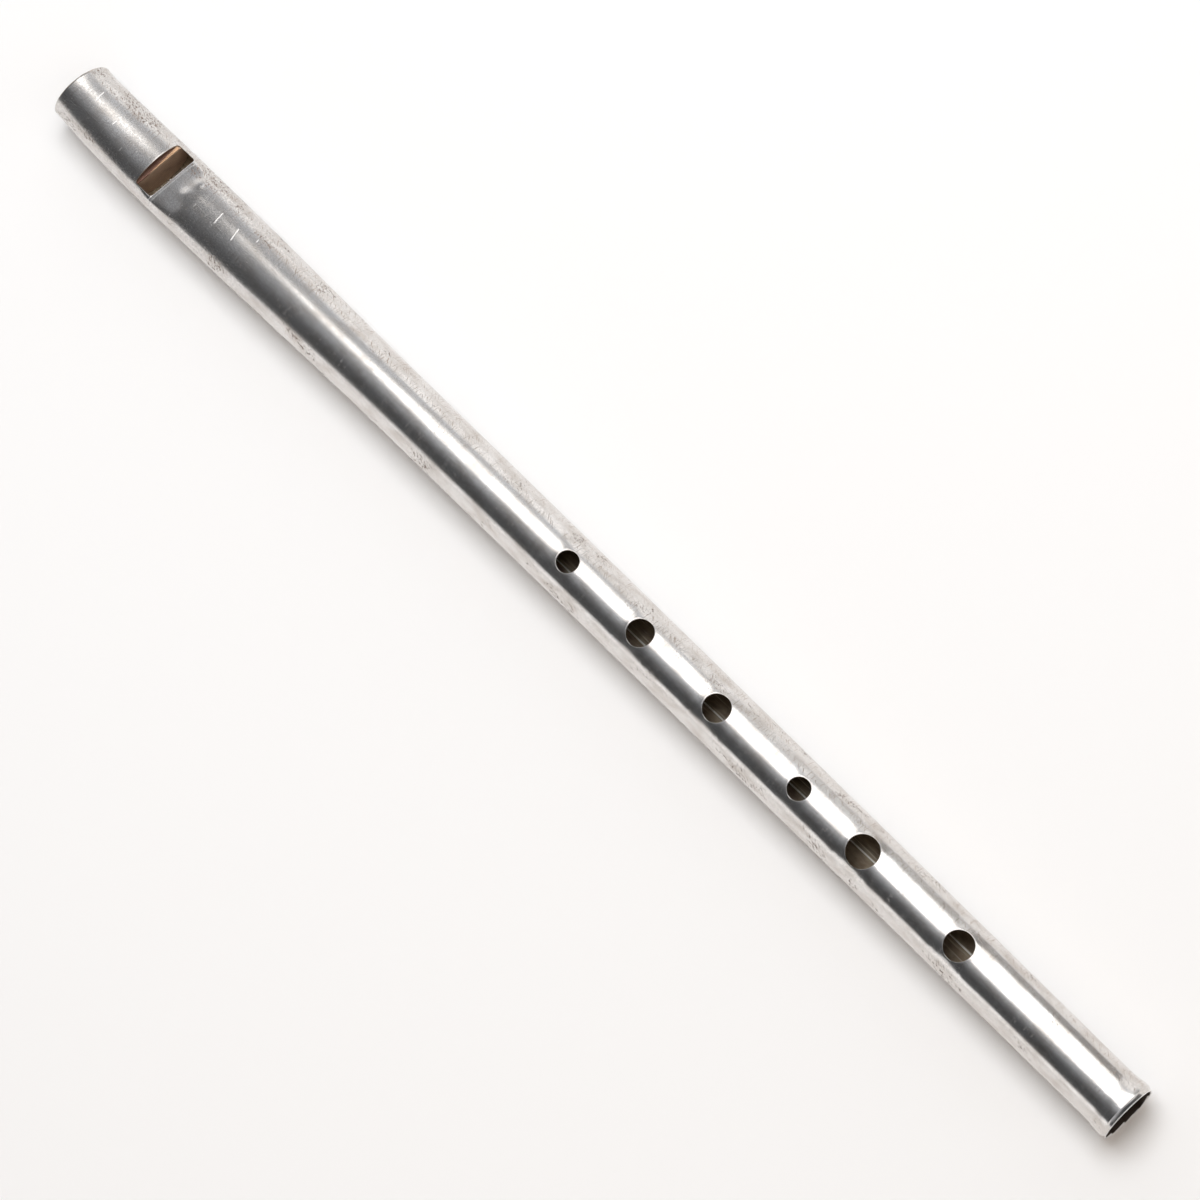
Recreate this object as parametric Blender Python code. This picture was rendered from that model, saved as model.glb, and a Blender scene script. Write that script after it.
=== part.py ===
"""Tin whistle in D, in metres: a rolled tinplate tube, the solder of its seam and a wooden block.

+X runs along the bore from the blowing end, at x = 0, to the foot. The window and the finger holes
face +Z. The origin is the middle of the blowing end, on the line of the finger holes.
"""

import math

import bmesh
import bpy
from mathutils import Vector

# The sheet and the plain cone that it is rolled into
LENGTH = 0.2920
SHEET = 0.0003
RADIUS_AT_MOUTH = 0.00662
RADIUS_AT_FOOT = 0.00612

# The head is squeezed wider than it is tall
SQUEEZE = 0.095
SQUEEZE_FULL_FROM = 0.028
SQUEEZE_FULL_TO = 0.036
SQUEEZE_ENDS = 0.096

# The crown of the head is pressed flatter, most of all at the window
CROWN_FROM = 0.0030
CROWN_PRESS = 78.0
CROWN_FULL_FROM = 0.020
CROWN_FULL_TO = 0.030
CROWN_ENDS = 0.062

# The press left the head a little to one side, and the blowing end a little less so
HEAD_SET = -0.0016
HEAD_SET_FADE = 0.068
MOUTH_SET = 0.00105
MOUTH_SET_FADE = 0.011

# The window and the lip were struck a little out of square. This is the slope of their edges
HEAD_SKEW = 0.09
HEAD_SKEW_FULL_FROM = 0.020
HEAD_SKEW_FULL_TO = 0.038
HEAD_SKEW_ENDS = 0.080

# The lap seam runs along the underside. Angles are measured round the tube from straight down
LAP_WIDTH = 0.0026
LAP_SETTLES_AT = math.radians(100)
STEP_RUN = math.radians(0.6)

# The window, and the panel behind it that is pressed down to make the lip
WINDOW_X = 0.0240
WINDOW_LENGTH = 0.0043
WINDOW_WIDTH = 0.01135
WINDOW_SET = 0.00045
WINDOW_CORNER = 0.0006
LIP_X = WINDOW_X + WINDOW_LENGTH
LIP_HEIGHT = 0.00367
PANEL_LENGTH = 0.0069
PANEL_EVEN_RISE = 0.4

# Finger holes, from the blowing end to the foot
HOLE_X = (0.1423, 0.1624, 0.1834, 0.2057, 0.2228, 0.2483)
HOLE_DIAMETER = (0.0045, 0.0055, 0.0056, 0.0046, 0.0066, 0.0060)

# The foot flares, and its edge is folded in to make the hem
FLARE_X = 0.2865
FLARE = 0.00035
HEM_THICKNESS = 0.0009
HEM_DEPTH = 0.0016

# The wooden block. Its flat top is the floor of the windway
BLOCK_CLEARANCE = 0.00005
BLOCK_LENGTH = WINDOW_X + 0.0002
BLOCK_TOP_AT_MOUTH = 0.0029
BLOCK_TOP_AT_WINDOW = 0.0033
BLOCK_CHAMFER = 0.0003
BLOCK_SEGMENTS = 40

# The solder lies in the step along the lap's outer edge
SOLDER_GAP = 0.00003
SOLDER_WIDTH = 0.0006
SOLDER_ENDS = 0.0030

SEGMENTS = 54
HOLE_SEGMENTS = 28


def smooth(share):
    share = min(1.0, max(0.0, share))
    return share * share * (3 - 2 * share)


def squeeze(x):
    """How far the section at x is squeezed out of round, as a share of the radius."""
    rise = math.sin(math.pi / 2 * min(1.0, x / SQUEEZE_FULL_FROM))
    fall = 1 - smooth((x - SQUEEZE_FULL_TO) / (SQUEEZE_ENDS - SQUEEZE_FULL_TO))
    return SQUEEZE * rise * fall


def section(x):
    """(half width, half height, sideways offset) of the tube's outside at x."""
    radius = RADIUS_AT_MOUTH + (RADIUS_AT_FOOT - RADIUS_AT_MOUTH) * x / LENGTH
    radius += FLARE * smooth((x - FLARE_X) / (LENGTH - HEM_THICKNESS - FLARE_X))
    offset = HEAD_SET * math.exp(-x / HEAD_SET_FADE) + MOUTH_SET * math.exp(-x / MOUTH_SET_FADE)
    return radius * (1 + squeeze(x)), radius * (1 - squeeze(x)), offset


def skewed(x, aside):
    """The place along X of a point that was at x before the head went out of square."""
    fall = (x - HEAD_SKEW_FULL_TO) / (HEAD_SKEW_ENDS - HEAD_SKEW_FULL_TO)
    return x + HEAD_SKEW * smooth(x / HEAD_SKEW_FULL_FROM) * (1 - smooth(fall)) * aside


def crown_height(x, z):
    """The height, in the pressed crown at x, of a point at z on the squeezed section."""
    if z < CROWN_FROM:
        return z
    rise = smooth(x / CROWN_FULL_FROM)
    fall = 1 - smooth((x - CROWN_FULL_TO) / (CROWN_ENDS - CROWN_FULL_TO))
    return z - CROWN_PRESS * rise * fall * (z - CROWN_FROM) ** 2


def half_lap():
    """Half the lap's width, as an angle round the tube."""
    return LAP_WIDTH / 2 / RADIUS_AT_FOOT


def lap_lift(angle, outside):
    """How far the outer layer of the lap stands off the plain tube at an angle."""
    free_edge = -half_lap() if outside else half_lap()
    if angle < free_edge:
        return 0.0
    return SHEET * (1 - smooth((angle - half_lap()) / (LAP_SETTLES_AT - half_lap())))


def panel_rise(x):
    """How much of the tube's crown is left at x: 1 is all of it, and 0 is the flat lip."""
    window_middle = WINDOW_X + WINDOW_LENGTH / 2
    if x <= window_middle:
        return 1.0
    if x <= LIP_X:
        return 0.0
    share = min(1.0, (x - LIP_X) / PANEL_LENGTH)
    return PANEL_EVEN_RISE * share + (1 - PANEL_EVEN_RISE) * share**4


def wall_point(x, angle, inset, outside):
    """A point of the sheet, inset from the tube's outside, on its outer or its inner face."""
    half_width, half_height, offset = section(x)
    out = lap_lift(angle, outside) - inset
    aside = (half_width + out) * math.sin(angle)
    z = crown_height(x, -(half_height + out) * math.cos(angle))
    crown = z - (LIP_HEIGHT - inset)
    if crown > 0:
        z -= crown * (1 - panel_rise(x))
    return Vector((skewed(x, aside), offset + aside, z))


def ring_angles():
    """Angles round the tube, with both free edges of the lap as steps."""
    lap = half_lap()
    first, last = lap + STEP_RUN, 2 * math.pi - lap - STEP_RUN
    even = [first + (last - first) * i / SEGMENTS for i in range(SEGMENTS + 1)]
    wrapped = [a if a <= math.pi else a - 2 * math.pi for a in even]
    return wrapped + [-lap, 0.0, lap]


def stations(spans):
    """Places along X: each span gives where it starts and how many steps it takes to the next."""
    places = []
    for (start, steps), (end, _) in zip(spans, spans[1:]):
        places += [start + (end - start) * i / steps for i in range(steps)]
    return places + [spans[-1][0]]


def sheet_places():
    """The rings' places along X, from the blowing end to the rim's fold."""
    return stations(
        [
            (0.0, 6),
            (WINDOW_X, 1),
            (WINDOW_X + WINDOW_LENGTH / 2, 1),
            (LIP_X - SHEET, 1),
            (LIP_X, 6),
            (LIP_X + PANEL_LENGTH, 1),
            (SQUEEZE_FULL_TO, 6),
            (SQUEEZE_ENDS, 4),
            (FLARE_X, 4),
            (LENGTH - HEM_THICKNESS / 2, 1),
        ]
    )


def tube_profile():
    """(x, inset, outside) of each ring, down the outside, round the hem and back up the bore."""
    places = sheet_places()
    rim_x = places[-1]
    outer = [(x, 0.0, True) for x in places]
    hem_middle = HEM_THICKNESS / 2
    turns = [math.pi * i / 6 for i in range(1, 6)]
    hem = [
        (rim_x + hem_middle * math.sin(t), hem_middle * (1 - math.cos(t)), t < math.pi / 2)
        for t in turns
    ]
    hem += [(rim_x, HEM_THICKNESS, False), (LENGTH - HEM_DEPTH, HEM_THICKNESS, False)]
    bore = [(x, SHEET, False) for x in reversed(places) if x < LENGTH - HEM_DEPTH]
    bore.insert(0, (LENGTH - HEM_DEPTH - SHEET / 6, SHEET, False))
    return outer + hem + bore


def mesh_object(name, bm, colour, roughness, metallic):
    """A named object with its own Principled material, from a finished bmesh."""
    bmesh.ops.recalc_face_normals(bm, faces=bm.faces)
    mesh = bpy.data.meshes.new(name)
    bm.to_mesh(mesh)
    bm.free()
    mesh.shade_smooth()
    mesh.set_sharp_from_angle(angle=math.radians(30))
    material = bpy.data.materials.new(name)
    material.use_nodes = True
    shader = material.node_tree.nodes["Principled BSDF"]
    shader.inputs["Base Color"].default_value = (*colour, 1.0)
    shader.inputs["Roughness"].default_value = roughness
    shader.inputs["Metallic"].default_value = metallic
    mesh.materials.append(material)
    obj = bpy.data.objects.new(name, mesh)
    bpy.context.scene.collection.objects.link(obj)
    return obj


def bridge(bm, first, second):
    """Quads between two closed loops of vertices of the same length."""
    count = len(first)
    for i in range(count):
        j = (i + 1) % count
        bm.faces.new((first[i], first[j], second[j], second[i]))


def cutter(name, bm):
    """A closed helper shape that a Boolean takes away, and that isn't part of the object."""
    bmesh.ops.recalc_face_normals(bm, faces=bm.faces)
    mesh = bpy.data.meshes.new(name)
    bm.to_mesh(mesh)
    bm.free()
    obj = bpy.data.objects.new(name, mesh)
    bpy.context.scene.collection.objects.link(obj)
    obj.hide_render = True
    obj.display_type = "WIRE"
    return obj


def cut(obj, tool):
    modifier = obj.modifiers.new(tool.name, "BOOLEAN")
    modifier.operation = "DIFFERENCE"
    modifier.solver = "EXACT"
    modifier.object = tool


def make_tube():
    """The sheet as one closed skin: down the outside, round the hem and back up the bore."""
    bm = bmesh.new()
    angles = ring_angles()
    rings = [
        [bm.verts.new(wall_point(x, a, inset, outside)) for a in angles]
        for x, inset, outside in tube_profile()
    ]
    for i, ring in enumerate(rings):
        bridge(bm, ring, rings[(i + 1) % len(rings)])
    tube = mesh_object("body_tube", bm, (0.62, 0.61, 0.60), 0.28, 1.0)
    cut(tube, window_cutter())
    for number, (x, diameter) in enumerate(zip(HOLE_X, HOLE_DIAMETER), start=1):
        cut(tube, hole_cutter(number, x, diameter))
    return tube


def window_cutter():
    """An upright block with rounded corners, which opens the window in the crown."""
    _, half_height, offset = section(WINDOW_X)
    bottom, top = LIP_HEIGHT / 2, 2 * half_height
    bm = bmesh.new()
    bmesh.ops.create_cube(bm, size=1.0)
    for vert in bm.verts:
        aside = WINDOW_SET + vert.co.y * WINDOW_WIDTH
        vert.co.x = skewed(WINDOW_X + (vert.co.x + 0.5) * WINDOW_LENGTH, aside)
        vert.co.y = offset + aside
        vert.co.z = bottom + (vert.co.z + 0.5) * (top - bottom)
    upright = [e for e in bm.edges if abs(e.verts[0].co.z - e.verts[1].co.z) > SHEET]
    bmesh.ops.bevel(bm, geom=upright, offset=WINDOW_CORNER, segments=3, affect="EDGES", profile=0.5)
    return cutter("window_cutter", bm)


def hole_cutter(number, x, diameter):
    """An upright cylinder from the bore's middle to above the tube."""
    bm = bmesh.new()
    height = 2 * RADIUS_AT_MOUTH
    bmesh.ops.create_cone(
        bm,
        cap_ends=True,
        segments=HOLE_SEGMENTS,
        radius1=diameter / 2,
        radius2=diameter / 2,
        depth=height,
    )
    bmesh.ops.translate(bm, verts=bm.verts, vec=(x, 0.0, height / 2))
    return cutter(f"hole_cutter_{number}", bm)


def block_ring(bm, x, top):
    """A loop of the block at x: the bore's shape up to a flat top."""
    half_width, half_height, offset = section(x)
    inset = SHEET + BLOCK_CLEARANCE
    half_width, half_height = half_width - inset, half_height - inset
    edge = math.acos(-top / half_height)
    angles = [edge * (2 * i / BLOCK_SEGMENTS - 1) for i in range(BLOCK_SEGMENTS + 1)]
    ring = []
    for angle in angles:
        aside = half_width * math.sin(angle)
        place = (skewed(x, aside), offset + aside, -half_height * math.cos(angle))
        ring.append(bm.verts.new(place))
    return ring


def make_block():
    """The plug of the blowing end, with a chamfer where its top meets the window."""
    bm = bmesh.new()
    chamfer_x = BLOCK_LENGTH - BLOCK_CHAMFER
    rings = []
    for x in stations([(0.0, 6), (chamfer_x, 1)]):
        share = x / chamfer_x
        top = BLOCK_TOP_AT_MOUTH + (BLOCK_TOP_AT_WINDOW - BLOCK_TOP_AT_MOUTH) * share
        rings.append(block_ring(bm, x, top))
    rings.append(block_ring(bm, BLOCK_LENGTH, BLOCK_TOP_AT_WINDOW - BLOCK_CHAMFER))
    for first, second in zip(rings, rings[1:]):
        bridge(bm, first, second)
    bm.faces.new(rings[0])
    bm.faces.new(rings[-1])
    return mesh_object("fipple_block", bm, (0.26, 0.17, 0.11), 0.75, 0.0)


def make_solder():
    """A thin three-sided fillet along the step where the lap's outer layer ends."""
    bm = bmesh.new()
    step = -half_lap() - STEP_RUN
    across = SOLDER_WIDTH / RADIUS_AT_FOOT
    clear = SOLDER_GAP / RADIUS_AT_FOOT
    corners = (
        (step - clear, -SOLDER_GAP),
        (step - clear, -SHEET + SOLDER_GAP),
        (step - across, -SOLDER_GAP),
    )
    rings = [
        [bm.verts.new(wall_point(x, angle, inset, True)) for angle, inset in corners]
        for x in sheet_places()
        if SOLDER_ENDS < x < LENGTH - SOLDER_ENDS
    ]
    for first, second in zip(rings, rings[1:]):
        bridge(bm, first, second)
    bm.faces.new(rings[0])
    bm.faces.new(rings[-1])
    return mesh_object("seam_solder", bm, (0.50, 0.50, 0.50), 0.45, 1.0)


for old in list(bpy.data.objects):
    bpy.data.objects.remove(old)
make_tube()
make_block()
make_solder()
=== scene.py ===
"""Looks of the tin whistle: a worn tinplate tube, its wooden block and the solder of its seam.

Metres, in the frame's own axes: +X from the blowing end to the foot, +Z up through the holes.
"""

import math

import bmesh
import bpy
from mathutils import Matrix, Vector, noise


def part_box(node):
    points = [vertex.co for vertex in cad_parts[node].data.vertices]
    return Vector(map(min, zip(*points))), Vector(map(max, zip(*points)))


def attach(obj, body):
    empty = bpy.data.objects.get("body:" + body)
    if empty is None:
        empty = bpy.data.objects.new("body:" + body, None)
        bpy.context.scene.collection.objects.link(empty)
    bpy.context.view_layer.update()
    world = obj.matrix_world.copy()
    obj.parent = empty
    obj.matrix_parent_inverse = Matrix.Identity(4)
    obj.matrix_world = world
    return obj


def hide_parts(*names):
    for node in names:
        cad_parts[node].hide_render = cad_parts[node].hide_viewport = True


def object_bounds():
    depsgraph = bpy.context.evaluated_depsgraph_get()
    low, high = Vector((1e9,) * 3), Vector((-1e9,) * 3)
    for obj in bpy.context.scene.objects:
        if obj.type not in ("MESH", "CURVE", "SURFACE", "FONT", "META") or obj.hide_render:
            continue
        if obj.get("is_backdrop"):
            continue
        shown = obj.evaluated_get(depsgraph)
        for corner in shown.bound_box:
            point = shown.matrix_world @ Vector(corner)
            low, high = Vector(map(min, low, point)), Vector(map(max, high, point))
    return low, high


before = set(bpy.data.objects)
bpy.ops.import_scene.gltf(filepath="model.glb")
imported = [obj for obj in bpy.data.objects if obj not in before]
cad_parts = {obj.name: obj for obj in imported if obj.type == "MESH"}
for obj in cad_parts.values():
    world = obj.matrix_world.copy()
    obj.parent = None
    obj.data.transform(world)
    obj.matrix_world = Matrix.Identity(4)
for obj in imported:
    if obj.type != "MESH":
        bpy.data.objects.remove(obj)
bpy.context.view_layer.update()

MM = 0.001

# ---------------------------------------------------------------- the tube, as the CAD part has it

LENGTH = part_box("body_tube")[1].x
SHEET = 0.30 * MM
RADIUS_AT_MOUTH = 6.62 * MM
RADIUS_AT_FOOT = 6.12 * MM

SQUEEZE = 0.095
SQUEEZE_FULL_FROM = 28 * MM
SQUEEZE_FULL_TO = 36 * MM
SQUEEZE_ENDS = 96 * MM

CROWN_FROM = 3.0 * MM
CROWN_PRESS = 38.0
CROWN_STARTS = 4 * MM
CROWN_FULL_FROM = 24 * MM
CROWN_FULL_TO = 30 * MM
CROWN_ENDS = 48 * MM

HEAD_SET = -1.6 * MM
HEAD_SET_FADE = 68 * MM
MOUTH_SET = 1.05 * MM
MOUTH_SET_FADE = 11 * MM

HEAD_SKEW = 0.09
HEAD_SKEW_FULL_TO = 38 * MM
HEAD_SKEW_ENDS = 80 * MM

LAP_WIDTH = 2.6 * MM
LAP_SETTLES_AT = math.radians(100)
STEP_RUN = math.radians(0.6)

WINDOW_X = 24.0 * MM
WINDOW_LENGTH = 4.3 * MM
WINDOW_WIDTH = 11.35 * MM
WINDOW_SET = 0.45 * MM
WINDOW_CORNER = 0.6 * MM
WINDOW_BACK_SET = 0.28 * MM
WINDOW_BACK_SKEW = 0.05
WINDOW_MARGIN = 2.2 * MM
WINDOW_COLUMNS = (math.radians(180 - 76), math.radians(180 + 69))
LIP_X = WINDOW_X + WINDOW_LENGTH
LIP_HEIGHT = 3.67 * MM
PANEL_LENGTH = 6.9 * MM

HOLE_X = [x * MM for x in (142.3, 162.4, 183.4, 205.7, 222.8, 248.3)]
HOLE_DIAMETER = [d * MM for d in (4.5, 5.5, 5.6, 4.6, 6.6, 6.0)]

FLARE_X = LENGTH - 5.5 * MM
FLARE = 0.35 * MM

# ---------------------------------------------------------------- what the CAD part leaves out

# The cut edge at the mouth is rounded, and the mouth flares by a hair
MOUTH_EDGE = 0.12 * MM
MOUTH_FLARE = 0.13 * MM
MOUTH_FLARE_FADE = 1.6 * MM

# The press left a soft crease and a filed lip, and raised two knuckles at the panel's far end
CREASE = 0.30 * MM
PANEL_LEVELS_AT = 0.94
PANEL_EASE = 0.09
PANEL_ENDS = 1.12
LIP_FILED = 0.65 * MM
LIP_FILED_DROP = 0.05 * MM
LIP_RIDGE = 0.02 * MM
LIP_RIDGE_WIDTH = 0.12 * MM
KNUCKLES = ((4.9 * MM, -0.3 * MM), (5.1 * MM, 3.6 * MM))
KNUCKLE_HEIGHT = 0.32 * MM
KNUCKLE_SIZE = (1.1 * MM, 1.5 * MM)

# Each finger hole's rim stands up a little. The window's cut edge takes the bore's material from
# its sixth loop on
HOLE_LIFT = 0.085 * MM
HOLE_LIFT_FADE = 0.9 * MM
HOLE_EDGE = 0.13 * MM
WINDOW_EDGE = 0.05 * MM
CUT_EDGE_FROM = 6
HOLE_MARGIN = 1.5 * MM

# The hem is a bead whose inner fold is pleated
BEAD_RUN = 1.0 * MM
BEAD_DROP = 0.42 * MM
BEAD_NOSE = 0.12 * MM
BEAD_DEPTH = 0.60 * MM
PLEATS = 10
PLEAT_STEP = 0.16 * MM
PLEAT_REACH = 0.30 * MM
PLEAT_TURN = 0.35
HEM_DEPTH = 1.5 * MM

# The sheet isn't perfectly true
WAVES = 0.018 * MM
WAVE_LENGTH = 26 * MM

SEGMENT_SPANS = [(90, 9), (115, 54), (245, 9), (270, 22)]


def smooth(share):
    share = min(1.0, max(0.0, share))
    return share * share * (3 - 2 * share)


def bell(distance, width):
    return math.exp(-((distance / width) ** 2))


def stations(spans):
    """Places along a line: each span gives where it starts and its steps to the next start."""
    places = []
    for (start, steps), (end, _) in zip(spans, spans[1:]):
        places += [start + (end - start) * i / steps for i in range(steps)]
    return places + [spans[-1][0]]


def squeeze(x):
    rise = math.sin(math.pi / 2 * min(1.0, max(0.0, x) / SQUEEZE_FULL_FROM))
    fall = 1 - smooth((x - SQUEEZE_FULL_TO) / (SQUEEZE_ENDS - SQUEEZE_FULL_TO))
    return SQUEEZE * rise * fall


def section(x):
    """(half width, half height, sideways offset) of the tube's outside at x."""
    radius = RADIUS_AT_MOUTH + (RADIUS_AT_FOOT - RADIUS_AT_MOUTH) * x / LENGTH
    radius += FLARE * smooth((x - FLARE_X) / (LENGTH - BEAD_RUN - FLARE_X))
    radius += MOUTH_FLARE * math.exp(-x / MOUTH_FLARE_FADE)
    offset = HEAD_SET * math.exp(-x / HEAD_SET_FADE) + MOUTH_SET * math.exp(-x / MOUTH_SET_FADE)
    return radius * (1 + squeeze(x)), radius * (1 - squeeze(x)), offset


def skewed(x, aside):
    fall = (x - HEAD_SKEW_FULL_TO) / (HEAD_SKEW_ENDS - HEAD_SKEW_FULL_TO)
    return x + HEAD_SKEW * (1 - smooth(fall)) * aside


def crown_height(x, z):
    if z < CROWN_FROM:
        return z
    rise = smooth((x - CROWN_STARTS) / (CROWN_FULL_FROM - CROWN_STARTS))
    fall = 1 - smooth((x - CROWN_FULL_TO) / (CROWN_ENDS - CROWN_FULL_TO))
    return z - CROWN_PRESS * rise * fall * (z - CROWN_FROM) ** 2


def half_lap():
    return LAP_WIDTH / 2 / RADIUS_AT_FOOT


def lap_lift(angle, outside):
    """How far the lap's outer layer stands off the plain tube. Angles run from straight down."""
    if angle > math.pi:
        angle -= 2 * math.pi
    if angle < (-half_lap() if outside else half_lap()):
        return 0.0
    return SHEET * (1 - smooth((angle - half_lap()) / (LAP_SETTLES_AT - half_lap())))


def panel_rise(x):
    """How much of the crown is left at x: 1 is all of it, and 0 is the flat lip."""
    if x <= LIP_X:
        start = WINDOW_X + WINDOW_CORNER
        return 1 - smooth((x - start) / (LIP_X - start))
    share = (x - LIP_X) / PANEL_LENGTH
    climb = share / PANEL_LEVELS_AT
    rise = (climb + 1 - math.hypot(climb - 1, PANEL_EASE)) / 2
    return rise + (1 - rise) * smooth((share - 1) / (PANEL_ENDS - 1))


def knuckle_lift(x, aside):
    """The two small bulges that the press raised in the panel."""
    along, across = KNUCKLE_SIZE
    lift = 0.0
    for run, at in KNUCKLES:
        lift += KNUCKLE_HEIGHT * bell(x - LIP_X - run, along) * bell(aside - at, across)
    return lift


def lip_relief(x, z):
    """The filed band along the lip, and the thin ridge that the file left behind it."""
    if x < LIP_X or z < LIP_HEIGHT * 0.9:
        return 0.0
    run = x - LIP_X
    filed = -LIP_FILED_DROP * (1 - smooth(run / LIP_FILED))
    return filed + LIP_RIDGE * bell(run - LIP_FILED, LIP_RIDGE_WIDTH)


def hole_lift(x, y):
    """How far the sheet stands up round the nearest finger hole."""
    lift = 0.0
    for hole_x, diameter in zip(HOLE_X, HOLE_DIAMETER):
        away = math.hypot(x - hole_x, y) - diameter / 2
        if away < 6 * HOLE_LIFT_FADE:
            height = HOLE_LIFT * diameter / HOLE_DIAMETER[0]
            lift += height * math.exp(-max(0.0, away) / HOLE_LIFT_FADE)
    return lift


def waves(x, angle):
    """Slow unevenness of the rolled sheet."""
    place = Vector((x / WAVE_LENGTH, 1.3 * math.cos(angle), 1.3 * math.sin(angle)))
    return WAVES * noise.noise(place) + 0.4 * WAVES * noise.noise(place * 2.7)


def wall_point(x, angle, inset, outside):
    """A point of the sheet, inset from the tube's outside, on its outer or its inner face."""
    half_width, half_height, offset = section(x)
    out = lap_lift(angle, outside) - inset + waves(x, angle)
    if math.cos(angle) < 0:
        out += hole_lift(x, offset + half_width * math.sin(angle))
    aside = (half_width + out) * math.sin(angle)
    z = crown_height(x, -(half_height + out) * math.cos(angle))
    crown = z - (LIP_HEIGHT - inset)
    if crown > -4 * CREASE and x < LIP_X + PANEL_ENDS * PANEL_LENGTH:
        soft_crown = (crown + math.hypot(crown, CREASE)) / 2
        z -= soft_crown * (1 - panel_rise(x))
    if z > 0 and x < FLARE_X:
        z += knuckle_lift(x, aside)
    z += lip_relief(x, z + inset)
    return Vector((skewed(x, aside), offset + aside, z))


# ---------------------------------------------------------------- the tube's mesh


def column_angles():
    """Angles round the tube from straight down, close together over the crown."""
    lap = half_lap()
    first, last = lap + STEP_RUN, 2 * math.pi - lap - STEP_RUN
    spans = [(first, 20)] + [(math.radians(a), n) for a, n in SEGMENT_SPANS] + [(last, 0)]
    return stations(spans) + [2 * math.pi - lap, 2 * math.pi, 2 * math.pi + lap]


def ring_places():
    """Places along X of the tube's rings, from the mouth's edge to the bead."""
    spans = [
        (MOUTH_EDGE, 8),
        (2.5 * MM, 32),
        (WINDOW_X - WINDOW_MARGIN, 18),
        (LIP_X, 6),
        (LIP_X + 1.5 * LIP_FILED, 20),
        (LIP_X + PANEL_LENGTH + 1.0 * MM, 30),
        (70 * MM, 26),
    ]
    for x, diameter in zip(HOLE_X, HOLE_DIAMETER):
        reach = diameter / 2 + HOLE_MARGIN
        spans += [(x - reach, 18), (x + reach, 5)]
    spans += [(FLARE_X - 2 * MM, 22), (LENGTH - BEAD_RUN, 0)]
    return stations(spans)


def pleat(angle):
    """A sawtooth from 0 to 1 round the hem's inner fold."""
    return (PLEATS * angle / (2 * math.pi) + PLEAT_TURN) % 1.0


def hem_rings(angles):
    """(bead, fold): the rings of the foot's bead and of its pleated inner fold, as points."""
    depths = [BEAD_DEPTH + PLEAT_STEP * (pleat(a) - 0.5) for a in angles]
    slope = [(LENGTH - BEAD_RUN + 0.04 * MM, 0.05 * MM), (LENGTH - BEAD_RUN / 2, BEAD_DROP * 0.6)]
    slope += [(LENGTH - BEAD_NOSE, BEAD_DROP - 0.04 * MM), (LENGTH - 0.02 * MM, BEAD_DROP)]
    bead = [[wall_point(x, a, drop, True) for a in angles] for x, drop in slope]
    bead.append([wall_point(LENGTH, a, BEAD_DROP + 0.05 * MM, False) for a in angles])
    fold = []
    ends = [LENGTH - 0.03 * MM - PLEAT_REACH * pleat(a) for a in angles]
    fold.append([wall_point(x, a, d, False) for x, a, d in zip(ends, angles, depths)])
    fold.append([wall_point(LENGTH - HEM_DEPTH, a, d, False) for a, d in zip(angles, depths)])
    edge_x = LENGTH - HEM_DEPTH - 0.03 * MM
    fold.append([wall_point(edge_x, a, SHEET, False) for a in angles])
    return bead, fold


def mouth_rings(angles):
    """The rounded cut edge, from the inner face to the outer."""
    rings = []
    for turn in [math.pi * i / 6 for i in range(5, 0, -1)]:
        x = MOUTH_EDGE * (1 - math.sin(turn))
        inset = SHEET / 2 * (1 - math.cos(turn))
        rings.append([wall_point(x, a, inset, turn < math.pi / 2) for a in angles])
    return rings


class Opening:
    """A hole through both faces of the sheet, in a rectangle of the grid that it replaces."""

    def __init__(self, centre, half_size, corner, rounding, rings, columns):
        self.centre = Vector(centre)
        self.rounding = rounding
        self.dark_edge = rounding == WINDOW_EDGE
        self.core = Vector(half_size) - Vector((corner, corner))
        self.corner = corner
        self.first_ring, self.last_ring = rings
        self.first_column, self.last_column = columns

    def border(self):
        """(ring, column) of each grid point round the rectangle, in order."""
        i0, i1, j0, j1 = self.first_ring, self.last_ring, self.first_column, self.last_column
        path = [(i0, j) for j in range(j0, j1)] + [(i, j1) for i in range(i0, i1)]
        path += [(i1, j) for j in range(j1, j0, -1)] + [(i, j0) for i in range(i1, i0, -1)]
        return path

    def holds(self, ring, column):
        rings = self.first_ring <= ring < self.last_ring
        return rings and self.first_column <= column < self.last_column

    def back_shift(self, edge):
        """How far the window's edge nearer the mouth lies towards it. Finger holes have none."""
        if self.centre.x > LIP_X:
            return 0.0
        share = smooth((LIP_X - edge.x) / WINDOW_LENGTH)
        return share * (WINDOW_BACK_SET + WINDOW_BACK_SKEW * (edge.y - WINDOW_SET))

    def edge(self, x, angle, inset, grow):
        """(x, angle) on the opening's edge that faces a point of the sheet, grown outwards."""
        half_width = section(x)[0]
        place = Vector((x, half_width * math.sin(angle))) - self.centre
        core = Vector(max(-c, min(c, p)) for p, c in zip(place, self.core))
        away = (place - core).normalized()
        edge = self.centre + core + away * (self.corner + grow)
        edge.x -= self.back_shift(edge)
        share = edge.y / (section(edge.x)[0] - inset)
        return edge.x, math.pi - math.asin(max(-1.0, min(1.0, share)))


def nearest(values, wanted):
    return min(range(len(values)), key=lambda i: abs(values[i] - wanted))


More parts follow.
